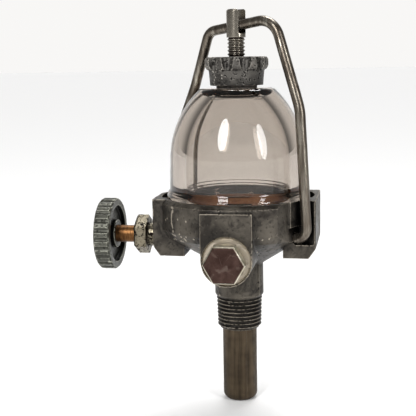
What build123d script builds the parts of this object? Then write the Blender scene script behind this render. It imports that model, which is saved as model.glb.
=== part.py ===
from build123d import *
import math
import os

# Tank-mounted fuel sediment bowl: a die-cast head with a tapered tank thread and gauze inlet tube,
# a needle shut-off valve, a plugged side port, and a glass bowl clamped by a swinging wire bail.
# Millimetres. The origin is on the tank thread's axis, at the shoulder where the neck meets the
# thread. +Z runs from the thread towards the closed end of the glass, -X along the valve to its
# knob, and -Y out of the plugged port.

# Head casting
cup_r = 28.6
rim_z = 37.5
rim_bevel = 1.4
belly_top_z = 26.6
belly_knee_r = 26.8
belly_knee_z = 23.8
neck_r = 9.0
belly_foot_z = 12.6
recess_r = 26.0
recess_z = 32.8
ledge_r = 18.6
crescent_r = 26.6
crescent_half_angle = 14
crescent_depth = 2.6
ledge_z = 31.5
cavity_r = 17.2
cavity_edge_z = 24.5
cavity_floor_z = 17.6
cavity_floor_r = 7.0

# Lugs on the valve line
lug_x = 29.0
lug_inner_x = 17.4
lug_half_width = 13.8
lug_bottom_z = 17.0
lug_bevel_run = 2.6
lug_bevel_rise = 3.6

# Tapered tank thread, 3/8-18 NPT, and the neck bores
thread_r = 8.57
thread_pitch = 25.4 / 18
thread_turns = 8
thread_depth = 0.95
thread_taper = 1 / 32
thread_length = thread_turns * thread_pitch
strainer_bore_r = 6.4
strainer_bore_depth = 6.5
inlet_bore_r = 4.6
inlet_bore_z = 13.0

# Side ports, 1/4 NPT, and their pads
pad_y = 29.4
pad_half_width = 8.9
pad_top_z = 35.2
port_z = 18.9
port_r = 5.55
port_inner_y = 17.4
port_drill_r = 4.2
port_drill_y = 12.0
spot_face_r = 8.3
spot_face_depth = 1.2

# Needle valve, on -X
valve_z = 22.3
stem_r = 3.175
stem_bore_r = 3.25
seat_port_r = 1.7
seat_w = 2.0
seat_port_end_w = 2.6
feed_w = 5.6
feed_r = 2.0
feed_start_z = 9.0
outlet_w = -1.2
outlet_r = 1.9
gland_bore_r = 4.45
gland_inner_w = 21.2
gallery_r = 5.0
packing_length = 3.15
post_r = 5.0
post_top_z = 34.6

# Bail
wire_r = 1.85
bail_angle = -30.0
pivot_z = 24.2
foot_s = 30.0
tail_s = 20.0
hook_radius = 4.0
hook_bore_r = 1.9
relief_s = 26.6
relief_t = 2.3
relief_foot = 2.2
relief_sweep = 17.0
lug_relief_s = 26.1
lug_relief_t = 5.0
hook_pocket_s = 25.4
hook_pocket_t = 5.0
hook_pocket_height = 6.4
relief_depth = 12.0

# Glass
glass_base_z = 75.6
glass_r = 24.6
glass_inner_r = 18.9
glass_base_thickness = 4.5
lip_r = 25.7
lip_z = 34.45

# Clamp nut and stud
nut_rim_z = 76.6
nut_rim_chamfer = 1.2
nut_top_z = 86.7
collar_r = 11.4
collar_z = 82.1
skirt_r = 9.9
nut_hollow_r = 7.7
nut_web_z = 81.7
scallop_count = 11
scallop_axis_r = 11.0
scallop_foot_z = 79.8
scallop_foot_r = 0.9
scallop_top_r = 2.3
washer_z = 77.3
washer_thickness = 1.3
washer_boss_r = 5.4
cushion_inner_r = 4.6
stud_r = 3.15
fork_r = 3.4
fork_z = 93.3
stud_top_z = 103.1
slot_floor_z = 94.75
slot_width = 4.0

os.makedirs("parts", exist_ok=True)

bail_dir = (math.cos(math.radians(bail_angle)), math.sin(math.radians(bail_angle)), 0)


def save(part, name):
    part.label = name
    export_step(part, f"parts/{name}.step")


def level(z):
    return Plane.XY.offset(z)


def valve_plane(w):
    """Plane across the valve's axis, w outward from the centre line, with its normal along -X."""
    return Plane(origin=(-w, 0, valve_z), x_dir=(0, 1, 0), z_dir=(-1, 0, 0))


def port_plane(side, y):
    """Plane across a side port's axis, with its normal pointing outward along side * Y."""
    return Plane(origin=(0, side * y, port_z), x_dir=(-side, 0, 0), z_dir=(0, side, 0))


def bail_level(side, z):
    """Horizontal plane whose x runs outward along one leg of the bail."""
    return Plane(origin=(0, 0, z), x_dir=(side * bail_dir[0], side * bail_dir[1], 0), z_dir=(0, 0, 1))


# ---------------------------------------------------------------- head casting
def thread_profile():
    """Thread flanks from the shoulder down to the end of the taper."""
    points = []
    for turn in range(thread_turns):
        z = -turn * thread_pitch
        crest = thread_r - (turn + 0.5) * thread_pitch * thread_taper
        points.append((crest - thread_depth, z - 0.10 * thread_pitch))
        points.append((crest - 0.05, z - 0.46 * thread_pitch))
        points.append((crest - 0.05, z - 0.60 * thread_pitch))
        points.append((crest - thread_depth, z - 0.96 * thread_pitch))
    return points


with BuildPart() as body_casting:
    # Cup, conical belly, neck and thread in one turned outline
    with BuildSketch(Plane.XZ):
        with BuildLine():
            start = (0, -thread_length - 0.6)
            Polyline(
                start,
                (thread_r - 1.25, -thread_length - 0.6),
                *reversed(thread_profile()),
                (thread_r - 0.3, 0),
                (neck_r, 0.9),
                (neck_r, belly_foot_z),
                (belly_knee_r, belly_knee_z),
                (cup_r, belly_top_z),
                (cup_r, rim_z - rim_bevel),
                (cup_r - rim_bevel, rim_z),
                (0, rim_z),
                start,
            )
        make_face()
    revolve(axis=Axis.Z)
    # Lugs at each end of the valve line, bevelled along their lower ends
    for side in (1, -1):
        with BuildSketch(Plane.XZ.offset(-lug_half_width)):
            with BuildLine():
                Polyline(
                    (side * lug_inner_x, lug_bottom_z),
                    (side * (lug_x - lug_bevel_run), lug_bottom_z),
                    (side * lug_x, lug_bottom_z + lug_bevel_rise),
                    (side * lug_x, rim_z),
                    (side * lug_inner_x, rim_z),
                    close=True,
                )
            make_face()
        extrude(amount=2 * lug_half_width)
    # Port pads, front and back, with round lower ends about the ports
    for side in (1, -1):
        with BuildSketch(port_plane(side, 0)):
            Circle(pad_half_width)
            with Locations((0, (pad_top_z - port_z) / 2)):
                Rectangle(2 * pad_half_width, pad_top_z - port_z)
        extrude(amount=pad_y)
    # Parting ridges left on the neck by the two halves of the die
    for side in (1, -1):
        with BuildSketch(bail_level(side, 1.2)):
            with Locations((neck_r - 0.2, 0)):
                Rectangle(1.2, 0.9)
        extrude(amount=belly_foot_z - 0.5)
    outer_edges = body_casting.edges().filter_by(Axis.Z).filter_by(
        lambda edge: abs(abs(edge.center().X) - lug_x) < 0.01
    )
    fillet(outer_edges, 1.0)
    # Recess for the glass lip and gasket, ledge for the gauze and the cavity below
    with BuildSketch(Plane.XZ):
        with BuildLine():
            Polyline(
                (0, rim_z + 1),
                (recess_r, rim_z + 1),
                (recess_r, recess_z),
                (ledge_r, recess_z),
                (ledge_r, ledge_z),
                (cavity_r, ledge_z),
                (cavity_r, cavity_edge_z),
                (cavity_floor_r, cavity_floor_z),
                (0, cavity_floor_z),
                close=True,
            )
        make_face()
    revolve(axis=Axis.Z, mode=Mode.SUBTRACT)
    # Finger crescents beside the lip, one at each lug
    for middle in (4, 184):
        with BuildSketch(level(rim_z - crescent_depth)):
            with Locations(Rot(0, 0, middle)):
                SlotArc(CenterArc((0, 0), crescent_r, -crescent_half_angle, 2 * crescent_half_angle), 1.6)
        extrude(amount=crescent_depth + 1, mode=Mode.SUBTRACT)
    # Inside the cavity: a standpipe post and the gallery that leads to it from the valve
    with BuildSketch(level(cavity_floor_z - 2)):
        Circle(post_r)
    extrude(amount=post_top_z - cavity_floor_z + 2)
    with BuildSketch(valve_plane(0)):
        Circle(gallery_r)
    extrude(amount=lug_inner_x)
    # Strainer socket, inlet bore and the drilling that joins it to the valve chamber
    with BuildSketch(level(-thread_length - 1)):
        Circle(strainer_bore_r)
    extrude(amount=strainer_bore_depth + 1, mode=Mode.SUBTRACT)
    with BuildSketch(level(-thread_length)):
        Circle(inlet_bore_r)
    extrude(amount=thread_length + inlet_bore_z, mode=Mode.SUBTRACT)
    with BuildSketch(level(feed_start_z)):
        with Locations((-feed_w, 0)):
            Circle(feed_r)
    extrude(amount=valve_z - feed_start_z, mode=Mode.SUBTRACT)
    # Valve: seat port, seat cone, stem bore and gland bore
    with BuildSketch(valve_plane(-seat_port_end_w)):
        Circle(seat_port_r)
    extrude(amount=seat_w + seat_port_end_w + 0.2, mode=Mode.SUBTRACT)
    with BuildSketch(valve_plane(seat_w)):
        Circle(seat_port_r)
    with BuildSketch(valve_plane(seat_w + stem_bore_r - seat_port_r)):
        Circle(stem_bore_r)
    loft(mode=Mode.SUBTRACT)
    with BuildSketch(valve_plane(seat_w + stem_bore_r - seat_port_r)):
        Circle(stem_bore_r)
    extrude(amount=lug_x, mode=Mode.SUBTRACT)
    with BuildSketch(valve_plane(gland_inner_w)):
        Circle(gland_bore_r)
    extrude(amount=lug_x - gland_inner_w + 1, mode=Mode.SUBTRACT)
    with BuildSketch(level(valve_z)):
        with Locations((-outlet_w, 0)):
            Circle(outlet_r)
    extrude(amount=post_top_z - valve_z + 1, mode=Mode.SUBTRACT)
    # Side ports with their spot faces, each drilled on into the cavity
    for side in (1, -1):
        with BuildSketch(port_plane(side, port_drill_y)):
            Circle(port_drill_r)
        extrude(amount=pad_y - port_drill_y, mode=Mode.SUBTRACT)
        with BuildSketch(port_plane(side, port_inner_y)):
            Circle(port_r)
        extrude(amount=pad_y - port_inner_y + 1, mode=Mode.SUBTRACT)
        with BuildSketch(port_plane(side, pad_y - spot_face_depth)):
            Circle(spot_face_r)
        extrude(amount=spot_face_depth + 1, mode=Mode.SUBTRACT)
    # Flats, pockets and hook bores for the bail's two legs
    leg_cuts = (
        (relief_s, -relief_t, relief_sweep, rim_z - pivot_z + relief_foot + 1),
        (lug_relief_s, lug_relief_t, relief_sweep, rim_z - pivot_z + relief_foot + 1),
        (hook_pocket_s, -relief_t, hook_pocket_t, hook_pocket_height),
    )
    for side in (1, -1):
        for inner_s, back_t, front_t, height in leg_cuts:
            with BuildSketch(bail_level(side, pivot_z - relief_foot)):
                with Locations((inner_s + relief_depth / 2, -side * (back_t + front_t) / 2)):
                    Rectangle(relief_depth, front_t - back_t)
            extrude(amount=height, mode=Mode.SUBTRACT)
        hook_start = Plane(
            origin=(side * bail_dir[0] * (tail_s - 0.4), side * bail_dir[1] * (tail_s - 0.4), pivot_z),
            z_dir=(side * bail_dir[0], side * bail_dir[1], 0),
        )
        with BuildSketch(hook_start):
            Circle(hook_bore_r)
        extrude(amount=hook_pocket_s - tail_s + 1, mode=Mode.SUBTRACT)
save(body_casting.part, "body_casting")

# ---------------------------------------------------------------- glass and what it seals on
shoulder_r = 35.2
shoulder_z = 50.0
shoulder_centre_r = glass_r - 0.3 - shoulder_r
crown_r = 13.6
crown_z = shoulder_z + math.sqrt(shoulder_r**2 - (crown_r - shoulder_centre_r) ** 2)
wall = glass_r - glass_inner_r
inner_shoulder_r = shoulder_r - wall
inner_crown_r = 9.5
inner_crown_z = shoulder_z + math.sqrt(inner_shoulder_r**2 - (inner_crown_r - shoulder_centre_r) ** 2)


def shoulder_point(radius, end_r, share):
    """Point on a shoulder arc, a share of the way from its foot to the radius end_r."""
    sweep = math.acos((end_r - shoulder_centre_r) / radius) * share
    return (shoulder_centre_r + radius * math.cos(sweep), shoulder_z + radius * math.sin(sweep))


with BuildPart() as glass_bowl:
    with BuildSketch(Plane.XZ):
        with BuildLine():
            Polyline(
                (glass_inner_r, lip_z),
                (lip_r - 0.5, lip_z),
                (lip_r, lip_z + 0.5),
                (lip_r, rim_z + 0.3),
                (lip_r - 0.35, rim_z + 1.4),
                (glass_r, rim_z + 3.3),
                (glass_r - 0.3, shoulder_z),
            )
            ThreePointArc(
                (glass_r - 0.3, shoulder_z),
                shoulder_point(shoulder_r, crown_r, 0.5),
                (crown_r, crown_z),
            )
            TangentArc(
                (crown_r, crown_z),
                (crown_r - 1.9, glass_base_z),
                tangent=(-0.55, 0.55),
            )
            Polyline(
                (crown_r - 1.9, glass_base_z),
                (0, glass_base_z),
                (0, glass_base_z - glass_base_thickness),
                (inner_crown_r - 2.5, glass_base_z - glass_base_thickness),
                (inner_crown_r, inner_crown_z),
            )
            ThreePointArc(
                (inner_crown_r, inner_crown_z),
                shoulder_point(inner_shoulder_r, inner_crown_r, 0.5),
                (glass_inner_r - 0.3, shoulder_z),
            )
            Line((glass_inner_r - 0.3, shoulder_z), (glass_inner_r, lip_z))
        make_face()
    revolve(axis=Axis.Z)
save(glass_bowl.part, "glass_bowl")

with BuildPart() as bowl_gasket:
    with BuildSketch(level(recess_z)):
        Circle(recess_r - 0.2)
        Circle(ledge_r + 0.25, mode=Mode.SUBTRACT)
    extrude(amount=lip_z - recess_z - 0.03)
save(bowl_gasket.part, "bowl_gasket")

with BuildPart() as gauze_rim:
    with BuildSketch(level(ledge_z)):
        Circle(ledge_r - 0.1)
        Circle(ledge_r - 1.2, mode=Mode.SUBTRACT)
    extrude(amount=2.2)
save(gauze_rim.part, "gauze_rim")

with BuildPart() as gauze_disc:
    with BuildSketch(level(ledge_z + 1.0)):
        Circle(ledge_r - 1.22)
        Circle(post_r + 0.1, mode=Mode.SUBTRACT)
    extrude(amount=0.5)
save(gauze_disc.part, "gauze_disc")

# ---------------------------------------------------------------- inlet strainer
tube_r = 6.35
tube_wall = 0.5
tube_end_z = -39.4
tube_top_z = -thread_length + strainer_bore_depth - 0.1
tube_end_bend = 2.4
ferrule_length = 6.0

with BuildPart() as strainer_tube:
    # One turned wall: straight sides, a rounded corner and a closed flat end
    with BuildSketch(Plane.XZ):
        with BuildLine():
            outer_foot = (tube_r, tube_end_z + tube_end_bend)
            outer_end = (tube_r - tube_end_bend, tube_end_z)
            inner_foot = (tube_r - tube_wall, tube_end_z + tube_end_bend)
            inner_end = (tube_r - tube_end_bend, tube_end_z + tube_wall)
            Line((tube_r, tube_top_z), outer_foot)
            TangentArc(outer_foot, outer_end, tangent=(0, -1))
            Polyline(outer_end, (0, tube_end_z), (0, tube_end_z + tube_wall), inner_end)
            TangentArc(inner_foot, inner_end, tangent=(0, -1))
            Polyline(inner_foot, (tube_r - tube_wall, tube_top_z), (tube_r, tube_top_z))
        make_face()
    revolve(axis=Axis.Z)
save(strainer_tube.part, "strainer_tube")

with BuildPart() as strainer_ferrule:
    with BuildSketch(level(tube_top_z - ferrule_length)):
        Circle(tube_r - tube_wall - 0.03)
        Circle(tube_r - tube_wall - 0.8, mode=Mode.SUBTRACT)
    extrude(amount=ferrule_length)
save(strainer_ferrule.part, "strainer_ferrule")

# ---------------------------------------------------------------- plug in the front port
plug_head_y = 30.4
plug_face_y = 35.2
plug_shank_y = 17.6
hex_plug_across_flats = 12.7
plug_turned_share = 1.16
plug_chamfer = 0.55

with BuildPart() as hex_plug:
    with BuildSketch(port_plane(-1, plug_head_y)):
        RegularPolygon(hex_plug_across_flats / 2, 6, major_radius=False)
    extrude(amount=plug_face_y - plug_head_y)
    # The outer face is turned down to a round chamfer that trims the six corners
    with BuildSketch(port_plane(-1, plug_head_y)):
        Circle(hex_plug_across_flats / 2 * plug_turned_share)
    extrude(amount=plug_face_y - plug_head_y, mode=Mode.INTERSECT)
    chamfer(hex_plug.faces().sort_by(Axis.Y)[0].edges(), plug_chamfer)
    with BuildSketch(port_plane(-1, plug_shank_y)):
        Circle(port_r - 0.06)
    extrude(amount=plug_head_y - plug_shank_y)
save(hex_plug.part, "hex_plug")

# ---------------------------------------------------------------- needle valve
nut_face_w = 38.1
nut_hex_w = 33.4
nut_shank_w = 25.7
gland_washer_w = 24.9
gland_washer_thickness = 0.7
packing_nut_across_flats = 12.7
knob_w = 45.5
knob_width = 6.0
knob_r = 13.3
knob_seat_w = knob_w + 1.0
stem_end_w = knob_w + 4.9
needle_tip_w = 0.5
needle_tip_r = 0.6
needle_w = 3.0
needle_r = 2.3
stem_body_w = 8.0
knob_spigot_r = 2.4
screw_hole_r = 1.25
screw_shank_r = 1.2
screw_head_r = 3.1
screw_head_w = knob_w + knob_width + 0.7
screw_head_height = 1.9
screw_slot_width = 0.9
knob_dish_r = 10.4
knob_hub_r = 5.2
knob_flute_r = 0.95
knob_flutes = 24
knob_bevel = 0.7
knob_inner_dish = 1.9
knob_outer_dish = 1.2
washer_r = 4.2
washer_tooth_r = 0.45
washer_teeth = 12

with BuildPart() as packing_nut:
    with BuildSketch(valve_plane(nut_hex_w)):
        RegularPolygon(packing_nut_across_flats / 2, 6, major_radius=False, rotation=30)
    extrude(amount=nut_face_w - nut_hex_w)
    chamfer(packing_nut.faces().sort_by(Axis.X)[0].edges(), 0.7)
    with BuildSketch(valve_plane(nut_shank_w)):
        Circle(gland_bore_r - 0.05)
    extrude(amount=nut_hex_w - nut_shank_w)
    with BuildSketch(valve_plane(nut_shank_w - 1)):
        Circle(stem_bore_r)
    extrude(amount=nut_face_w - nut_shank_w + 2, mode=Mode.SUBTRACT)
save(packing_nut.part, "packing_nut")

with BuildPart() as gland_washer:
    with BuildSketch(valve_plane(gland_washer_w)):
        Circle(gland_bore_r - 0.1)
        Circle(stem_bore_r, mode=Mode.SUBTRACT)
    extrude(amount=gland_washer_thickness)
save(gland_washer.part, "gland_washer")

with BuildPart() as stem_packing:
    with BuildSketch(valve_plane(gland_inner_w + 0.05)):
        Circle(gland_bore_r - 0.05)
        Circle(stem_bore_r, mode=Mode.SUBTRACT)
    extrude(amount=packing_length)
save(stem_packing.part, "stem_packing")

with BuildPart() as valve_stem:
    # Needle, thinner lower stem, threaded body, plain shank and the reduced seat for the knob
    stem_steps = (
        (needle_w, stem_body_w, needle_r),
        (stem_body_w, knob_seat_w, stem_r),
        (knob_seat_w, stem_end_w, knob_spigot_r),
    )
    for start_w, end_w, radius in stem_steps:
        with BuildSketch(valve_plane(start_w)):
            Circle(radius)
        extrude(amount=end_w - start_w)
    with BuildSketch(valve_plane(needle_tip_w)):
        Circle(needle_tip_r)
    with BuildSketch(valve_plane(needle_w)):
        Circle(needle_r)
    loft()
    with BuildSketch(valve_plane(knob_seat_w)):
        Circle(screw_hole_r)
    extrude(amount=stem_end_w - knob_seat_w + 1, mode=Mode.SUBTRACT)
save(valve_stem.part, "valve_stem")

with BuildPart() as valve_knob:
    with BuildSketch(valve_plane(knob_w)):
        Circle(knob_r)
    extrude(amount=knob_width)
    chamfer(valve_knob.edges().filter_by(GeomType.CIRCLE), knob_bevel)
    # Grip flutes around the edge
    with BuildSketch(valve_plane(knob_w - 1)):
        with PolarLocations(knob_r + 0.35, knob_flutes):
            Circle(knob_flute_r)
    extrude(amount=knob_width + 2, mode=Mode.SUBTRACT)
    # Dished faces inside a raised rim, with a hub left standing at the centre
    knob_dishes = ((knob_w, knob_inner_dish), (knob_w + knob_width - knob_outer_dish, knob_outer_dish))
    for near_w, depth in knob_dishes:
        with BuildSketch(valve_plane(near_w)):
            Circle(knob_dish_r)
            Circle(knob_hub_r, mode=Mode.SUBTRACT)
        extrude(amount=depth, mode=Mode.SUBTRACT)
    with BuildSketch(valve_plane(knob_w - 1)):
        Circle(knob_spigot_r + 0.05)
    extrude(amount=knob_width + 2, mode=Mode.SUBTRACT)
    with BuildSketch(valve_plane(knob_w)):
        Circle(stem_bore_r)
    extrude(amount=knob_seat_w - knob_w + 0.05, mode=Mode.SUBTRACT)
save(valve_knob.part, "valve_knob")

with BuildPart() as knob_washer:
    with BuildSketch(valve_plane(knob_w + knob_width + 0.05)):
        Circle(washer_r)
        Circle(screw_shank_r + 0.1, mode=Mode.SUBTRACT)
        with PolarLocations(washer_r + 0.2, washer_teeth):
            Circle(washer_tooth_r, mode=Mode.SUBTRACT)
    extrude(amount=0.6)
save(knob_washer.part, "knob_washer")

with BuildPart() as knob_screw:
    with BuildSketch(valve_plane(screw_head_w)):
        Circle(screw_head_r)
    extrude(amount=screw_head_height)
    fillet(knob_screw.faces().sort_by(Axis.X)[0].edges(), screw_head_height - 0.7)
    with BuildSketch(valve_plane(knob_seat_w + 0.6)):
        Circle(screw_shank_r)
    extrude(amount=screw_head_w + 0.1 - knob_seat_w - 0.6)
    with BuildSketch(valve_plane(screw_head_w + screw_head_height / 2)):
        Rectangle(3 * screw_head_r, screw_slot_width)
    extrude(amount=screw_head_height, mode=Mode.SUBTRACT)
save(knob_screw.part, "knob_screw")

# ---------------------------------------------------------------- bail, stud and clamp nut
near_knee = (27.1, 68.8)
near_shoulder = (16.4, 99.4)
far_shoulder = (-12.4, 95.7)
far_elbow = (-19.4, 76.5)
far_knee = (-27.0, 60.6)

bail_route = [
    (tail_s, pivot_z),
    (foot_s, pivot_z),
    near_knee,
    near_shoulder,
    far_shoulder,
    far_elbow,
    far_knee,
    (-foot_s, pivot_z),
    (-tail_s, pivot_z),
]
# One bend radius for each corner of the route, in the same order
bail_bends = [hook_radius, 22, 8, 4.5, 20, 16, hook_radius]


def bail_point(s, z):
    """Point in the bail's plane, s outward along the near leg's direction, at the height z."""
    return Vector(s * bail_dir[0], s * bail_dir[1], z)


with BuildPart() as bail_wire:
    with BuildLine() as bail_path:
        FilletPolyline(*[bail_point(s, z) for s, z in bail_route], radius=bail_bends)
    with BuildSketch(Plane(origin=bail_path.line @ 0, z_dir=bail_path.line % 0)):
        Circle(wire_r)
    sweep(path=bail_path.line)
save(bail_wire.part, "bail_wire")

stud_pitch = 1.27
stud_turns = 10
stud_root = stud_r - 0.55


def stud_flanks():
    """Thread flanks of the stud, from just below the fork down to its lower end."""
    points = []
    for turn in range(stud_turns):
        z = fork_z - 0.1 - turn * stud_pitch
        points.append((stud_root, z))
        points.append((stud_r, z - 0.42 * stud_pitch))
        points.append((stud_r, z - 0.55 * stud_pitch))
        points.append((stud_root, z - 0.97 * stud_pitch))
    return points


with BuildPart() as bail_stud:
    with BuildSketch(Plane.XZ):
        with BuildLine():
            Polyline(
                (0, fork_z + 0.1),
                (stud_root, fork_z + 0.1),
                *stud_flanks(),
                (0, fork_z - 0.1 - 0.97 * stud_pitch - (stud_turns - 1) * stud_pitch),
                close=True,
            )
        make_face()
    revolve(axis=Axis.Z)
    with BuildSketch(level(fork_z)):
        Circle(fork_r)
    extrude(amount=stud_top_z - fork_z)
    chamfer(bail_stud.edges().sort_by(Axis.Z)[-1], 0.5)
    with BuildSketch(bail_level(1, slot_floor_z)):
        Rectangle(4 * fork_r, slot_width)
    extrude(amount=stud_top_z - slot_floor_z + 1, mode=Mode.SUBTRACT)
save(bail_stud.part, "bail_stud")

with BuildPart() as thumb_nut:
    with BuildSketch(level(nut_rim_z)):
        Circle(skirt_r)
    extrude(amount=nut_top_z - nut_rim_z)
    with BuildSketch(level(collar_z)):
        Circle(collar_r)
    extrude(amount=nut_top_z - collar_z)
    chamfer(thumb_nut.edges().group_by(Axis.Z)[-1], 0.7)
    # Finger scallops that narrow as they run down from the collar into the skirt
    with Locations(level((scallop_foot_z + nut_top_z) / 2)):
        with PolarLocations(scallop_axis_r, scallop_count):
            Cone(scallop_foot_r, scallop_top_r, nut_top_z - scallop_foot_z, mode=Mode.SUBTRACT)
    # Hollow for the washer and cushion, flared at the rim, and the stud's bore
    with BuildSketch(Plane.XZ):
        with BuildLine():
            Polyline(
                (0, nut_rim_z),
                (nut_hollow_r + nut_rim_chamfer, nut_rim_z),
                (nut_hollow_r, nut_rim_z + nut_rim_chamfer),
                (nut_hollow_r, nut_web_z),
                (0, nut_web_z),
                close=True,
            )
        make_face()
    revolve(axis=Axis.Z, mode=Mode.SUBTRACT)
    with BuildSketch(level(nut_rim_z)):
        Circle(stud_r + 0.08)
    extrude(amount=nut_top_z - nut_rim_z + 1, mode=Mode.SUBTRACT)
save(thumb_nut.part, "thumb_nut")

with BuildPart() as pressure_washer:
    with BuildSketch(level(washer_z)):
        Circle(nut_hollow_r - 0.3)
    extrude(amount=washer_thickness)
    with BuildSketch(level(washer_z + washer_thickness)):
        Circle(washer_boss_r)
    extrude(amount=nut_web_z - 0.3 - washer_z - washer_thickness)
    with BuildSketch(level(washer_z)):
        Circle(stud_r + 0.45)
    extrude(amount=nut_web_z - washer_z, mode=Mode.SUBTRACT)
save(pressure_washer.part, "pressure_washer")

with BuildPart() as nut_cushion:
    with BuildSketch(level(glass_base_z + 0.04)):
        Circle(nut_hollow_r - 0.4)
        Circle(cushion_inner_r, mode=Mode.SUBTRACT)
    extrude(amount=washer_z - glass_base_z - 0.08)
save(nut_cushion.part, "nut_cushion")
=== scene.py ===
import math

import bmesh
import bpy
import numpy as np
from mathutils import Matrix, Vector, noise


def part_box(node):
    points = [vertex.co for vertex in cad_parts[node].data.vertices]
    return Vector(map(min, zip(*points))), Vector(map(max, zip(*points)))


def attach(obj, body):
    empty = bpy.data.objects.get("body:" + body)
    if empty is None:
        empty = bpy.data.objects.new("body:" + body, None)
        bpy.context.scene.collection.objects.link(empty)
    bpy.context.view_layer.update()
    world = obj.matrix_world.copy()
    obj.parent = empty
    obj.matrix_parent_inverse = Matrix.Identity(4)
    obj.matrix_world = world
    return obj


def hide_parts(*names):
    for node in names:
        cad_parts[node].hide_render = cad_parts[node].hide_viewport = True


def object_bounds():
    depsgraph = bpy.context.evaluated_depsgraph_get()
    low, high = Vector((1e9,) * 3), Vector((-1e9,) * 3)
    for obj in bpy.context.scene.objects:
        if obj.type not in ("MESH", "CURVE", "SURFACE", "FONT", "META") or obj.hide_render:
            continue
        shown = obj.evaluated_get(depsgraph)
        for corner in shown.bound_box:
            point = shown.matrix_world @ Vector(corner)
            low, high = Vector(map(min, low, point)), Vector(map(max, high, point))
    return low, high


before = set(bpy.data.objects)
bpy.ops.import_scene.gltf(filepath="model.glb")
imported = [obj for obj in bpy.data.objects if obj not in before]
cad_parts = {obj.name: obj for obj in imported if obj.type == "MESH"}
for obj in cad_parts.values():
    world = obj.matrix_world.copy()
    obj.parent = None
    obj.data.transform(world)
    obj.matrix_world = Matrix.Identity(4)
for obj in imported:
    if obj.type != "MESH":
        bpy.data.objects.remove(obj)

cad_low, cad_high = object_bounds()
MM = 0.001

# ---------------------------------------------------------------- camera, floor and light
CAMERA_AZIMUTH = math.radians(8.5)
CAMERA_DISTANCE = 0.3185
CAMERA_HEIGHT = 0.0853
CAMERA_PITCH = math.radians(9.4)
CAMERA_YAW = math.radians(1.98)
CAMERA_ROLL = math.radians(-1.05)
CAMERA_LENS = 76.8
STUDIO_LEVEL = 0.20
PAPER_LEVEL = 0.94
LIGHT_TARGET = Vector((0, 0, 0.04))
FLOOR_HALF = 12.0


def make_camera():
    """Stands level with the clamp nut, looking slightly down and a little left of the axis."""
    data = bpy.data.cameras.new("camera")
    data.lens = CAMERA_LENS
    data.sensor_width = 36
    data.clip_start = 0.01
    camera = bpy.data.objects.new("camera", data)
    bpy.context.scene.collection.objects.link(camera)
    camera.location = (
        CAMERA_DISTANCE * math.sin(CAMERA_AZIMUTH),
        -CAMERA_DISTANCE * math.cos(CAMERA_AZIMUTH),
        CAMERA_HEIGHT,
    )
    turn = Matrix.Rotation(CAMERA_AZIMUTH + CAMERA_YAW, 4, "Z")
    tilt = Matrix.Rotation(math.pi / 2 - CAMERA_PITCH, 4, "X")
    roll = Matrix.Rotation(CAMERA_ROLL, 4, "Z")
    camera.rotation_euler = (turn @ tilt @ roll).to_euler()
    bpy.context.scene.camera = camera


def area_light(name, azimuth, elevation, distance, size, watts):
    """Soft light aimed at the middle of the bowl, placed by compass angle round the object."""
    data = bpy.data.lights.new(name, "AREA")
    data.shape = "ELLIPSE"
    data.size, data.size_y = size
    data.energy = watts
    light = bpy.data.objects.new(name, data)
    bpy.context.scene.collection.objects.link(light)
    a, e = math.radians(azimuth), math.radians(elevation)
    out = Vector((math.sin(a) * math.cos(e), -math.cos(a) * math.cos(e), math.sin(e)))
    light.location = LIGHT_TARGET + out * distance
    light.rotation_euler = (-out).to_track_quat("-Z", "Y").to_euler()


def sky_light(name, azimuth, elevation, strength, spread):
    """Even light from high up, wide enough for soft shadows, that whitens the whole floor."""
    data = bpy.data.lights.new(name, "SUN")
    data.energy = strength
    data.angle = math.radians(spread)
    light = bpy.data.objects.new(name, data)
    bpy.context.scene.collection.objects.link(light)
    light.rotation_euler = (math.radians(90 - elevation), 0, math.radians(azimuth))


def make_stage():
    """Pale floor under the object and a studio world with a bright paper backdrop."""
    mesh = bpy.data.meshes.new("floor")
    half, z = FLOOR_HALF, cad_low.z
    corners = [(-half, -half, z), (half, -half, z), (half, half, z), (-half, half, z)]
    mesh.from_pydata(corners, [], [(0, 1, 2, 3)])
    floor = bpy.data.objects.new("floor", mesh)
    bpy.context.scene.collection.objects.link(floor)
    mat = bpy.data.materials.new("floor_pale")
    mat.use_nodes = True
    shader = mat.node_tree.nodes["Principled BSDF"]
    shader.inputs["Base Color"].default_value = (0.88, 0.88, 0.88, 1)
    shader.inputs["Roughness"].default_value = 0.9
    mesh.materials.append(mat)
    world = bpy.data.worlds.new("studio")
    world.use_nodes = True
    nodes, links = world.node_tree.nodes, world.node_tree.links
    background = nodes["Background"]
    # A white paper backdrop stands behind the object, in an otherwise dimmer studio
    coords = nodes.new("ShaderNodeTexCoord")
    facing = nodes.new("ShaderNodeVectorMath")
    facing.operation = "DOT_PRODUCT"
    facing.inputs[1].default_value = (-math.sin(CAMERA_AZIMUTH), math.cos(CAMERA_AZIMUTH), -0.1)
    paper = nodes.new("ShaderNodeMapRange")
    paper.interpolation_type = "SMOOTHSTEP"
    settings = (("From Min", 0.50), ("From Max", 0.90), ("To Min", STUDIO_LEVEL), ("To Max", PAPER_LEVEL))
    for name, number in settings:
        paper.inputs[name].default_value = number
    links.new(coords.outputs["Generated"], facing.inputs[0])
    links.new(facing.outputs["Value"], paper.inputs["Value"])
    links.new(paper.outputs["Result"], background.inputs["Strength"])
    background.inputs["Color"].default_value = (1, 0.99, 0.975, 1)
    bpy.context.scene.world = world
    bpy.context.scene.view_settings.view_transform = "Standard"


make_camera()
make_stage()
area_light("key", -19, 31, 0.80, (0.22, 0.55), 4.6)
area_light("fill", 53, 21, 0.85, (0.20, 0.60), 3.6)
sky_light("top", 175, 62, 2.7, 35)


# ---------------------------------------------------------------- material building blocks
NOISE_ROUGHNESS = 0.55
SHADE_SAMPLES = 8


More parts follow.
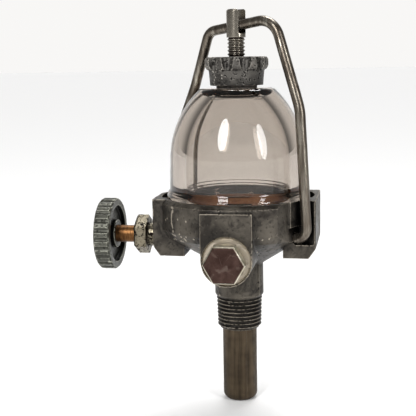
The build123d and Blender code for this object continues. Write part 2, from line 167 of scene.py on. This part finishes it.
class Recipe:
    """One procedural material, with short calls for the nodes that all the finishes share."""

    def __init__(self, name, metallic=0.0, roughness=0.5):
        self.mat = bpy.data.materials.new(name)
        self.mat.use_nodes = True
        self.nodes = self.mat.node_tree.nodes
        self.links = self.mat.node_tree.links
        self.shader = self.nodes["Principled BSDF"]
        self.shader.inputs["Metallic"].default_value = metallic
        self.shader.inputs["Roughness"].default_value = roughness
        self.coords = self.nodes.new("ShaderNodeTexCoord").outputs["Object"]

    def stretched(self, scale, angle=0):
        """Object coordinates scaled by axis, for grain that runs one way, turned about Y."""
        node = self.nodes.new("ShaderNodeMapping")
        node.vector_type = "TEXTURE"
        node.inputs["Scale"].default_value = tuple(1 / part for part in scale)
        node.inputs["Rotation"].default_value = (0, math.radians(angle), 0)
        self.links.new(self.coords, node.inputs["Vector"])
        return node.outputs["Vector"]

    def noise(self, size_mm, detail=4.0, coords=None, distortion=0.0):
        node = self.nodes.new("ShaderNodeTexNoise")
        node.inputs["Scale"].default_value = 1000.0 / size_mm
        node.inputs["Detail"].default_value = detail
        node.inputs["Roughness"].default_value = NOISE_ROUGHNESS
        node.inputs["Distortion"].default_value = distortion
        self.links.new(coords or self.coords, node.inputs["Vector"])
        return node.outputs["Fac"]

    def ramp(self, value, stops):
        """Colour by value, from a list of (position, linear colour)."""
        node = self.nodes.new("ShaderNodeValToRGB")
        elements = node.color_ramp.elements
        while len(elements) < len(stops):
            elements.new(0.5)
        for element, (position, colour) in zip(elements, stops):
            element.position = position
            element.color = (*colour, 1)
        self.links.new(value, node.inputs["Fac"])
        return node.outputs["Color"]

    def spread(self, value, low, high, out_low=0.0, out_high=1.0):
        """Stretches low to high onto out_low to out_high, held at both ends."""
        node = self.nodes.new("ShaderNodeMapRange")
        settings = (("From Min", low), ("From Max", high), ("To Min", out_low), ("To Max", out_high))
        for name, number in settings:
            node.inputs[name].default_value = number
        self.links.new(value, node.inputs["Value"])
        return node.outputs["Result"]

    def mix(self, factor, first, second):
        node = self.nodes.new("ShaderNodeMix")
        node.data_type = "RGBA"
        if isinstance(factor, float):
            node.inputs["Factor"].default_value = factor
        else:
            self.links.new(factor, node.inputs["Factor"])
        for index, source in ((6, first), (7, second)):
            if isinstance(source, tuple):
                node.inputs[index].default_value = (*source, 1)
            else:
                self.links.new(source, node.inputs[index])
        return node.outputs[2]

    def bump(self, height, strength, depth_mm, below=None):
        node = self.nodes.new("ShaderNodeBump")
        node.inputs["Strength"].default_value = strength
        node.inputs["Distance"].default_value = depth_mm * MM
        self.links.new(height, node.inputs["Height"])
        if below is not None:
            self.links.new(below, node.inputs["Normal"])
        return node.outputs["Normal"]

    def wear(self, low, high):
        """0 at pointiness low, 1 at high: picks outer edges above 0.5, or hollows if high is below it. The
        castings use it for worn edges that also carry painted highlight, and for dirty hollows that also
        carry painted shade.
        """
        return self.spread(self.nodes.new("ShaderNodeNewGeometry").outputs["Pointiness"], low, high)

    def painted_corner_shade(self, reach_mm, low, high):
        """Painted shade: 1 deep in corners and under parts, falling to 0 on open surfaces, from ambient
        occlusion.
        """
        node = self.nodes.new("ShaderNodeAmbientOcclusion")
        node.inputs["Distance"].default_value = reach_mm * MM
        node.samples = SHADE_SAMPLES
        return self.spread(node.outputs["AO"], low, high)

    def machined(self, centre_mm, reach_mm, near_mm, far_mm):
        """1 on a face cut round an axis along Y: within reach of it, between two distances |Y|."""
        offset = self.nodes.new("ShaderNodeVectorMath")
        offset.operation = "SUBTRACT"
        self.links.new(self.coords, offset.inputs[0])
        offset.inputs[1].default_value = (centre_mm[0] * MM, 0, centre_mm[1] * MM)
        split = self.nodes.new("ShaderNodeSeparateXYZ")
        self.links.new(offset.outputs["Vector"], split.inputs[0])
        distance = self.math("ABSOLUTE", split.outputs["Y"])
        flat = self.nodes.new("ShaderNodeVectorMath")
        flat.operation = "MULTIPLY"
        flat.inputs[1].default_value = (1, 0, 1)
        self.links.new(offset.outputs["Vector"], flat.inputs[0])
        length = self.nodes.new("ShaderNodeVectorMath")
        length.operation = "LENGTH"
        self.links.new(flat.outputs["Vector"], length.inputs[0])
        inside = self.math("LESS_THAN", length.outputs["Value"], reach_mm * MM)
        above = self.math("GREATER_THAN", distance, near_mm * MM)
        below = self.math("LESS_THAN", distance, far_mm * MM)
        return self.math("MULTIPLY", self.math("MULTIPLY", inside, above), below)

    def math(self, operation, first, second=None):
        node = self.nodes.new("ShaderNodeMath")
        node.operation = operation
        self.links.new(first, node.inputs[0])
        if isinstance(second, float):
            node.inputs[1].default_value = second
        elif second is not None:
            self.links.new(second, node.inputs[1])
        return node.outputs["Value"]

    def wire(self, socket, output):
        self.links.new(output, self.shader.inputs[socket])


def cast_metal(name, dark, light, stain_and_shade, metallic, roughness, relief=0.5, worn=2.4, spot_faces=None):
    """Dull die casting: cloudy tone, sharp speckle, oily stains and a sandy skin, with painted shade in
    corners, dirt and painted shade in hollows, and edges lightened by wear and painted highlight.
    """
    r = Recipe(name, metallic)
    clouds = r.noise(11.0, 5.0, distortion=0.6)
    speckle = r.noise(0.9, 3.0)
    tone = r.ramp(clouds, [(0.36, dark), (0.64, light)])
    patches = r.spread(r.noise(5.5, 6.0, distortion=1.2), 0.50, 0.72)
    tone = r.mix(patches, tone, stain_and_shade)
    flecks = r.spread(speckle, 0.62, 0.80, 0.0, 0.6)
    tone = r.mix(flecks, tone, light)
    # Painted shade: corners, creases and surfaces close under other parts are darkened to a deep brown.
    tone = r.mix(r.painted_corner_shade(7.0, 0.98, 0.55), tone, tuple(c * 0.35 for c in stain_and_shade))
    # Hollows darkened: dirt, and painted shade.
    tone = r.mix(r.wear(0.49, 0.44), tone, tuple(c * 0.5 for c in stain_and_shade))
    # Outer edges lightened: wear, and painted highlight; worn sets how bright.
    tone = r.mix(r.wear(0.515, 0.56), tone, tuple(min(1.0, c * worn) for c in light))
    if spot_faces:
        tone = r.mix(r.machined(*spot_faces), tone, tuple(c * 4.0 for c in light))
    r.wire("Base Color", tone)
    r.wire("Roughness", r.spread(clouds, 0.3, 0.7, *roughness))
    skin = r.bump(r.noise(0.55, 4.0), relief, 0.05)
    r.wire("Normal", r.bump(r.noise(3.5, 4.0), 0.5, 0.12, skin))
    return r.mat


def plated_steel(name, clean, spot_and_shade, spots, polish=0.32):
    """Zinc plate with dark corrosion spots and a fine grain."""
    r = Recipe(name, 0.9)
    tone = r.ramp(r.noise(6.0, 4.0), [(0.3, tuple(c * 0.8 for c in clean)), (0.7, clean)])
    marks = r.spread(r.noise(1.3, 3.0, distortion=0.4), *spots)
    tone = r.mix(marks, tone, spot_and_shade)
    # Painted shade: darker towards the dark spot colour in slots and corners.
    r.wire("Base Color", r.mix(r.painted_corner_shade(2.5, 0.95, 0.5), tone, tuple(c * 0.5 for c in spot_and_shade)))
    r.wire("Roughness", r.spread(marks, 0.0, 1.0, polish, 0.7))
    r.wire("Normal", r.bump(r.noise(0.9, 3.0), 0.08, 0.02))
    return r.mat


def tarnished_wire():
    """Drawn steel wire, browned, with bright rubbed streaks along it."""
    r = Recipe("tarnished_wire", 0.9)
    streaks = r.noise(1.6, 5.0, coords=r.stretched((1.0, 1.0, 0.09)))
    browned, drawn, rubbed = (0.050, 0.039, 0.030), (0.125, 0.106, 0.085), (0.34, 0.315, 0.265)
    tone = r.ramp(streaks, [(0.3, browned), (0.52, drawn), (0.74, rubbed)])
    r.wire("Base Color", tone)
    r.wire("Roughness", r.spread(streaks, 0.3, 0.7, 0.38, 0.22))
    r.wire("Normal", r.bump(streaks, 0.3, 0.05))
    return r.mat


def brass(name, dark, light, roughness):
    """Turned brass, tarnished in fine bands across the X axis."""
    r = Recipe(name, 0.95, roughness)
    rings = r.noise(1.4, 4.0, coords=r.stretched((3.0, 0.5, 0.5)))
    r.wire("Base Color", r.ramp(rings, [(0.3, dark), (0.7, light)]))
    r.wire("Normal", r.bump(rings, 0.25, 0.03))
    return r.mat


def gauze_cloth(name, dark, light):
    """Wire cloth: dirt in runs and patches over the woven relief, which is in the mesh itself."""
    r = Recipe(name, 0.85, 0.5)
    runs = r.noise(1.6, 4.0, coords=r.stretched((1.0, 1.0, 0.06)))
    patches = r.ramp(r.noise(4.0, 5.0), [(0.3, dark), (0.7, light)])
    tone = r.mix(0.5, patches, r.ramp(runs, [(0.35, dark), (0.65, light)]))
    r.wire("Base Color", tone)
    r.wire("Roughness", r.spread(r.noise(1.0, 3.0), 0.3, 0.7, 0.36, 0.6))
    return r.mat


def plug_finish():
    """Copper-brown flash, worn to bright metal on the edges by fine crossing scratches."""
    r = Recipe("plug_finish", 0.9)
    clouds = r.noise(4.5, 5.0, distortion=1.0)
    tone = r.ramp(clouds, [(0.3, (0.026, 0.0125, 0.0095)), (0.7, (0.066, 0.038, 0.031))])
    tone = r.mix(r.spread(r.noise(5.0, 4.0, distortion=0.8), 0.56, 0.76), tone, (0.13, 0.095, 0.08))
    for angle in (25, -50, 75):
        scratch = r.noise(1.1, 2.0, coords=r.stretched((0.10, 1.0, 1.6), angle))
        tone = r.mix(r.spread(scratch, 0.70, 0.80, 0.0, 0.7), tone, (0.22, 0.165, 0.14))
    face_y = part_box("hex_plug")[0].y
    split = r.nodes.new("ShaderNodeSeparateXYZ")
    r.links.new(r.coords, split.inputs[0])
    side = r.spread(split.outputs["Y"], face_y + 0.0001, face_y + 0.0004)
    bright = r.ramp(clouds, [(0.35, (0.42, 0.38, 0.28)), (0.65, (0.80, 0.76, 0.64))])
    r.wire("Base Color", r.mix(side, tone, bright))
    r.wire("Roughness", r.spread(clouds, 0.3, 0.7, 0.3, 0.5))
    r.wire("Normal", r.bump(r.noise(0.8, 4.0), 0.4, 0.05))
    return r.mat


def cork():
    """Fuel-darkened cork, coarse in grain."""
    r = Recipe("cork", 0.0, 0.85)
    grains = r.noise(1.5, 6.0, distortion=0.8)
    r.wire("Base Color", r.ramp(grains, [(0.3, (0.10, 0.035, 0.015)), (0.7, (0.36, 0.15, 0.065))]))
    r.wire("Normal", r.bump(grains, 0.7, 0.25))
    return r.mat


def fibre():
    """Grey-black graphited packing."""
    r = Recipe("graphited_fibre", 0.0, 0.8)
    strands = r.noise(0.9, 6.0)
    r.wire("Base Color", r.ramp(strands, [(0.3, (0.02, 0.019, 0.018)), (0.7, (0.09, 0.08, 0.07))]))
    r.wire("Normal", r.bump(strands, 0.6, 0.15))
    return r.mat


def bowl_glass():
    """Clear moulded glass with the warm grey cast of old lime glass."""
    r = Recipe("bowl_glass", 0.0, 0.015)
    r.shader.inputs["Base Color"].default_value = (0.862, 0.838, 0.810, 1)
    r.shader.inputs["Transmission Weight"].default_value = 1.0
    r.shader.inputs["IOR"].default_value = 1.5
    body = r.nodes.new("ShaderNodeVolumeAbsorption")
    body.inputs["Color"].default_value = (0.70, 0.64, 0.58, 1)
    body.inputs["Density"].default_value = 105.0
    r.links.new(body.outputs["Volume"], r.nodes["Material Output"].inputs["Volume"])
    return r.mat


# ---------------------------------------------------------------- mesh building blocks
def add_piece(name, mesh, body, mat, replaced=()):
    """Links a finished mesh as a smooth-shaded piece that rides on a body."""
    mesh.polygons.foreach_set("use_smooth", [True] * len(mesh.polygons))
    mesh.materials.clear()
    mesh.materials.append(mat)
    piece = bpy.data.objects.new(name, mesh)
    bpy.context.scene.collection.objects.link(piece)
    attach(piece, body)
    if replaced:
        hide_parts(*replaced)


def evaluated_copy(obj):
    """A new mesh of an object with its modifiers applied."""
    graph = bpy.context.evaluated_depsgraph_get()
    return bpy.data.meshes.new_from_object(obj.evaluated_get(graph))


SKIRT_Z, SKIRT_RISE, SKIRT_R, SKIRT_TAPER = 76.6, 5.4, 9.45, 0.45
COLLAR_Z, COLLAR_RISE, COLLAR_FLARE = 81.2, 3.2, 1.6
CROWN_Z, CROWN_RISE, CROWN_DROP = 85.2, 1.5, 0.9
NUT_HOLLOW_R = 8.9


def flare_collar(co):
    """Draws the clamp nut's skirt in and rounds its collar out of it, as it is cast."""
    radius = np.hypot(co[:, 0], co[:, 1])
    z = co[:, 2] / MM
    skirt = SKIRT_R + SKIRT_TAPER * np.clip((z - SKIRT_Z) / SKIRT_RISE, 0, 1)
    collar = COLLAR_FLARE * np.sin(np.clip((z - COLLAR_Z) / COLLAR_RISE, 0, 1) * math.pi / 2)
    crown = CROWN_DROP * np.clip((z - CROWN_Z) / CROWN_RISE, 0, 1) ** 2
    scale = np.minimum(1, (skirt + collar - crown) * MM / np.maximum(radius, 1e-9))
    outer = radius > NUT_HOLLOW_R * MM
    co[outer, :2] *= scale[outer, None]


PIT_ONSET, PIT_GAIN = 0.28, 5.0


def softened(name, node, body, mat, voxel_mm, rounds, dent, keep=None, pits=(0.0, 1.0), shape=None):
    """A CAD node remeshed finely, with its edges worn round and its skin dented and pitted.

    keep(co) gives 0 where an edge stays crisp and 1 where it wears. dent and pits are each a
    depth and a feature size in mm, and are pressed inward. shape(co) changes the places first.
    """
    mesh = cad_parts[node].data.copy()
    work = bmesh.new()
    work.from_mesh(mesh)
    bmesh.ops.remove_doubles(work, verts=work.verts, dist=0.002 * MM)
    work.to_mesh(mesh)
    work.free()
    holder = bpy.data.objects.new(name + "_work", mesh)
    bpy.context.scene.collection.objects.link(holder)
    remesh = holder.modifiers.new("remesh", "REMESH")
    remesh.mode = "VOXEL"
    remesh.voxel_size = voxel_mm * MM
    fine = evaluated_copy(holder)
    if shape:
        places = np.zeros(len(fine.vertices) * 3)
        fine.vertices.foreach_get("co", places)
        places = places.reshape(-1, 3)
        shape(places)
        fine.vertices.foreach_set("co", places.ravel())
        holder.data = fine
        fine = evaluated_copy(holder)
    holder.modifiers.clear()
    holder.data = fine
    group = holder.vertex_groups.new(name="wear")
    for vertex in fine.vertices:
        group.add([vertex.index], keep(vertex.co) if keep else 1.0, "REPLACE")
    smooth = holder.modifiers.new("smooth", "SMOOTH")
    smooth.iterations = rounds
    smooth.factor = 0.5
    smooth.vertex_group = "wear"
    worn = evaluated_copy(holder)
    bpy.data.objects.remove(holder)
    count = len(worn.vertices)
    co = np.zeros(count * 3)
    normals = np.zeros(count * 3)
    worn.vertices.foreach_get("co", co)
    worn.vertices.foreach_get("normal", normals)
    co, normals = co.reshape(-1, 3), normals.reshape(-1, 3)
    depth = np.zeros(count)
    for index, point in enumerate(co):
        place = Vector(point) / MM
        depth[index] += dent[0] * (0.5 + 0.5 * noise.noise(place / dent[1]))
        if pits[0]:
            hollow = noise.noise(place / pits[1]) - PIT_ONSET
            depth[index] += pits[0] * min(1.0, max(0.0, hollow) * PIT_GAIN)
    co -= normals * (depth * MM)[:, None]
    worn.vertices.foreach_set("co", co.ravel())
    return add_piece(name, worn, body, mat, (node,))


def lathe(profile, segments):
    """Turned solid from one closed outline of (radius, height) in mm. Points on the axis are merged."""
    ring = len(profile)
    angles = np.linspace(0, 2 * math.pi, segments, endpoint=False)
    vertices = []
    for angle in angles:
        for radius, height in profile:
            vertices.append((radius * math.cos(angle) * MM, radius * math.sin(angle) * MM, height * MM))
    faces = []
    for step in range(segments):
        here, ahead = step * ring, (step + 1) % segments * ring
        for index in range(ring):
            after = (index + 1) % ring
            faces.append((here + index, ahead + index, ahead + after, here + after))
    mesh = bpy.data.meshes.new("turned")
    mesh.from_pydata(vertices, [], faces)
    work = bmesh.new()
    work.from_mesh(mesh)
    bmesh.ops.remove_doubles(work, verts=work.verts, dist=0.001 * MM)
    bmesh.ops.dissolve_degenerate(work, edges=work.edges, dist=0.0005 * MM)
    bmesh.ops.recalc_face_normals(work, faces=work.faces)
    work.to_mesh(mesh)
    work.free()
    return mesh


def arc(centre, radius, start, end, steps):
    """Points of an arc in (radius, height), by angle in degrees from the outward direction."""
    sweep = [math.radians(start + (end - start) * i / steps) for i in range(steps + 1)]
    return [(centre[0] + radius * math.cos(a), centre[1] + radius * math.sin(a)) for a in sweep]


def weave(u, v):
    """Height of plain-woven wire cloth, 0 to 1, at u and v counted in wires."""
    over = np.cos(math.pi * u) * np.cos(math.pi * v)
    warp = np.sqrt(np.clip(1 - (2 * (u - np.round(u))) ** 2, 0, 1)) * (0.5 + 0.5 * over)
    weft = np.sqrt(np.clip(1 - (2 * (v - np.round(v))) ** 2, 0, 1)) * (0.5 - 0.5 * over)
    return np.maximum(warp, weft)


def grid_mesh(name, points, wrap):
    """Quad mesh from an array of points, rows by columns, closed across its columns if wrap."""
    rows, columns = points.shape[:2]
    index = np.arange(rows * columns).reshape(rows, columns)
    right = np.roll(index, -1, axis=1) if wrap else index[:, 1:]
    left = index if wrap else index[:, :-1]
    faces = np.stack([left[:-1], right[:-1], right[1:], left[1:]], axis=-1).reshape(-1, 4)
    mesh = bpy.data.meshes.new(name)
    mesh.from_pydata((points.reshape(-1, 3) * MM).tolist(), [], faces.tolist())
    mesh.update()
    return mesh


# ---------------------------------------------------------------- the glass
GLASS_R = 24.6
GLASS_INNER_R = 18.9
SHOULDER_R = 35.2
SHOULDER_Z = 50.0
SHOULDER_INSET = 0.3
LIP_TOP_Z = 37.5
LIP_EDGE_R, LIP_BEAD_R, LIP_FILLET_R = 0.5, 1.2, 1.5
LIP_BEAD_RISE, LIP_FILLET_RISE = 0.1, 3.1
LIP_BEAD_TURN = 52
CROWN_R, INNER_CROWN_R = 13.6, 9.5
BASE_STEP, BASE_BULGE = 1.9, 1.0
BASE_THICKNESS = 4.5
INNER_FLAT_R, INNER_DOME = 7.0, 0.35


def make_glass():
    """The moulded bowl as one turned solid: flared lip, straight wall, domed shoulder, flat thick base."""
    low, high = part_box("glass_bowl")
    lip_z, base_z, lip_r = low.z / MM, high.z / MM, high.x / MM
    centre = (GLASS_R - SHOULDER_INSET - SHOULDER_R, SHOULDER_Z)
    wall = GLASS_R - GLASS_INNER_R
    crown = math.degrees(math.acos((CROWN_R - centre[0]) / SHOULDER_R))
    inner_crown = math.degrees(math.acos((INNER_CROWN_R - centre[0]) / (SHOULDER_R - wall)))
    outside = [(GLASS_INNER_R, lip_z), (lip_r - LIP_EDGE_R, lip_z)]
    outside += arc((lip_r - LIP_EDGE_R, lip_z + LIP_EDGE_R), LIP_EDGE_R, -90, 0, 4)
    outside += arc((lip_r - LIP_BEAD_R, LIP_TOP_Z + LIP_BEAD_RISE), LIP_BEAD_R, 0, LIP_BEAD_TURN, 6)
    fillet = (GLASS_R + LIP_FILLET_R, LIP_TOP_Z + LIP_FILLET_RISE)
    outside += arc(fillet, LIP_FILLET_R, 180 + LIP_BEAD_TURN, 180, 6)
    outside += arc(centre, SHOULDER_R, 0, crown, 36)
    knee = outside[-1]
    base_r = knee[0] - BASE_STEP
    for step in range(1, 7):
        t = step / 6
        blend = (1 - t) ** 2
        outside.append((
            blend * knee[0] + 2 * t * (1 - t) * (base_r + BASE_BULGE) + t * t * base_r,
            blend * knee[1] + (2 * t * (1 - t) + t * t) * (base_z - 0.02 * (1 - t)),
        ))
    outside += [(base_r * (1 - i / 5), base_z) for i in range(1, 6)]
    floor_z = base_z - BASE_THICKNESS
    inside = [(INNER_FLAT_R * i / 4, floor_z + INNER_DOME * (1 - (i / 4) ** 2)) for i in range(5)]
    inside += list(reversed(arc(centre, SHOULDER_R - wall, 0, inner_crown, 30)))
    inside += [
        (GLASS_INNER_R - SHOULDER_INSET * (1 - i / 6), SHOULDER_Z - (SHOULDER_Z - lip_z) * i / 6)
        for i in range(1, 6)
    ]
    mesh = lathe(outside + inside, 144)
    add_piece("glass_shell", mesh, "head", bowl_glass(), ("glass_bowl",))


# ---------------------------------------------------------------- gauze tube and disc
TUBE_R = 6.35
TUBE_END_R = 2.4
TUBE_END_DISH = 0.4
TUBE_INSET = 0.05
TUBE_SAG = 0.05
CLOTH_RELIEF = 0.16
WIRE_PITCH = 0.46
SEAM_ANGLE = math.radians(-68)
SEAM_HALF_WIDTH = 0.17
SEAM_TOP_Z, SEAM_LIFT, SEAM_END_GAP, SEAM_COVERED = -12.0, 0.30, 3.0, 5
DISC_HOLE_R, DISC_RELIEF, DISC_PITCH = 5.1, 0.3, 0.62


def make_strainer(mat):
    """Woven tube with a rounded, folded end, and the lapped seam down its front."""
    low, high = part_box("strainer_tube")
    top, end, bend = high.z / MM, low.z / MM, TUBE_END_R
    path = [(TUBE_R, top - (top - end - bend) * i / 260) for i in range(261)]
    path += arc((TUBE_R - bend, end + bend), bend, 0, -90, 34)[1:]
    path += [
        ((TUBE_R - bend) * (1 - i / 40), end + TUBE_END_DISH * math.sin(math.pi / 2 * i / 40))
        for i in range(1, 40)
    ]
    path += [(0.02, end + TUBE_END_DISH)]
    path = np.array(path)
    along = np.concatenate([[0], np.cumsum(np.hypot(*np.diff(path, axis=0).T))])
    around = int(2 * math.pi * TUBE_R / WIRE_PITCH / 2) * 2
    columns = around * 4
    angles = np.arange(columns) / columns * 2 * math.pi
    u = np.arange(columns) / columns * around
    relief = weave(u[None, :], (along / WIRE_PITCH)[:, None]) - 1.0
    sag = TUBE_SAG * np.sin(3 * angles)[None, :] * np.sin(along / 5.0)[:, None]
    radius = path[:, 0][:, None] + (relief * CLOTH_RELIEF + sag - TUBE_INSET) * (path[:, 0] > 1.0)[:, None]
    height = np.repeat(path[:, 1][:, None], columns, axis=1)
    points = np.stack([radius * np.cos(angles), radius * np.sin(angles), height], axis=-1)
    points[:, :, 2] = np.maximum(points[:, :, 2], end)
    add_piece("strainer_gauze", grid_mesh("strainer_gauze", points, True), "head", mat,
              ("strainer_tube",))
    seam_end = end + SEAM_END_GAP
    across = np.linspace(-1, 1, 25)
    down = np.linspace(0, 1, 200)
    pinch = np.sqrt(np.clip(1 - np.clip((down - 0.94) / 0.06, 0, 1) ** 2, 0.02, 1))
    theta = SEAM_ANGLE + SEAM_HALF_WIDTH * across[None, :] * pinch[:, None]
    lift = SEAM_LIFT * (1 - across**4)[None, :] * pinch[:, None] - 0.12
    cloth = weave(across[None, :] * 2.4, (down * (top - SEAM_COVERED - seam_end) / WIRE_PITCH)[:, None]) * 0.1
    seam_r = TUBE_R + lift + cloth - TUBE_INSET
    seam_z = SEAM_TOP_Z - (SEAM_TOP_Z - seam_end) * down[:, None] + 0 * theta
    strip = np.stack([seam_r * np.cos(theta), seam_r * np.sin(theta), seam_z], axis=-1)
    add_piece("strainer_seam", grid_mesh("strainer_seam", strip, False), "head", mat)


def make_disc(mat):
    """Flat woven disc with a hole for the standpipe."""
    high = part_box("gauze_disc")[1]
    radii = np.linspace(DISC_HOLE_R, high.x / MM, 100)
    angles = np.arange(420) / 420 * 2 * math.pi
    x = radii[:, None] * np.cos(angles)
    y = radii[:, None] * np.sin(angles)
    z = high.z / MM - DISC_RELIEF + DISC_RELIEF * weave(x / DISC_PITCH, y / DISC_PITCH)
    top = np.stack([x, y, z], axis=-1)
    cloth = grid_mesh("gauze_cloth", top, True)
    add_piece("gauze_cloth", cloth, "head", mat, ("gauze_disc",))


# ---------------------------------------------------------------- assembling the looks
THREAD_TOP_Z = 0.3
STUD_THREAD_TOP_Z = 93.6


def wear_above(top_mm, below):
    """Wear is full above top_mm, and the given share of it on the thread below."""
    return lambda co: 1.0 if co.z > top_mm * MM else below


# worn sets how far each casting's edges are lightened, for wear and painted highlight.
casting = cast_metal("casting", (0.019, 0.0155, 0.012), (0.105, 0.092, 0.074), (0.010, 0.008, 0.0065),
                     metallic=0.7, roughness=(0.34, 0.62), worn=3.0,
                     spot_faces=((0, 18.9), 8.35, 27.6, 28.5))
nut_cast = cast_metal("nut_casting", (0.05, 0.046, 0.041), (0.15, 0.14, 0.125), (0.02, 0.018, 0.016),
                      metallic=0.7, roughness=(0.36, 0.6), relief=0.8)
# The knob's ribbed rim gets the brightest edges: wear, and painted highlight on the ribs.
knob_cast = cast_metal("knob_casting", (0.034, 0.035, 0.029), (0.10, 0.10, 0.083), (0.012, 0.012, 0.010),
                       metallic=0.8, roughness=(0.28, 0.5), worn=4.0)
zinc = plated_steel("zinc_plate", (0.27, 0.245, 0.205), (0.06, 0.042, 0.03),
                    spots=(0.62, 0.86), polish=0.22)
pitted_zinc = plated_steel("pitted_zinc", (0.20, 0.175, 0.125), (0.014, 0.010, 0.008), spots=(0.54, 0.60))
turned_brass = brass("turned_brass", (0.05, 0.022, 0.009), (0.21, 0.10, 0.036), 0.4)
copper_gauze = gauze_cloth("copper_gauze", (0.10, 0.046, 0.024), (0.30, 0.15, 0.08))
brown_gauze = gauze_cloth("brown_gauze", (0.019, 0.0135, 0.0085), (0.105, 0.077, 0.048))

softened("casting_skin", "body_casting", "head", casting, 0.24, 3,
         keep=wear_above(THREAD_TOP_Z, 0.25), dent=(0.16, 6.0), pits=(0.12, 0.9))
softened("clamp_nut_skin", "thumb_nut", "nut", nut_cast, 0.18, 12,
         dent=(0.10, 2.5), pits=(0.28, 0.75), shape=flare_collar)
softened("knob_skin", "valve_knob", "knob", knob_cast, 0.2, 3, dent=(0.1, 3.0), pits=(0.12, 0.8))
softened("packing_nut_skin", "packing_nut", "head", pitted_zinc, 0.14, 2,
         dent=(0.03, 1.5), pits=(0.14, 0.5))
softened("plug_skin", "hex_plug", "head", plug_finish(), 0.16, 2,
         dent=(0.05, 2.5), pits=(0.05, 0.7))
softened("bail_skin", "bail_wire", "bail", tarnished_wire(), 0.22, 2, dent=(0.06, 5.0))
softened("stud_skin", "bail_stud", "bail", zinc, 0.12, 5,
         keep=wear_above(STUD_THREAD_TOP_Z, 0.3), dent=(0.02, 3.0))
softened("stem_skin", "valve_stem", "stem", turned_brass, 0.15, 1, dent=(0.03, 3.0))
softened("gasket_skin", "bowl_gasket", "head", cork(), 0.25, 2, dent=(0.12, 1.2))
softened("cushion_skin", "nut_cushion", "nut_seat", fibre(), 0.2, 2, dent=(0.08, 0.9))

make_glass()
make_strainer(brown_gauze)
make_disc(copper_gauze)

kept_nodes = {
    "gauze_rim": copper_gauze,
    "strainer_ferrule": turned_brass,
    "gland_washer": zinc,
    "stem_packing": fibre(),
    "knob_washer": zinc,
    "knob_screw": zinc,
    "pressure_washer": zinc,
}
for node_name, mat in kept_nodes.items():
    node_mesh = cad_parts[node_name].data
    node_mesh.materials.clear()
    node_mesh.materials.append(mat)
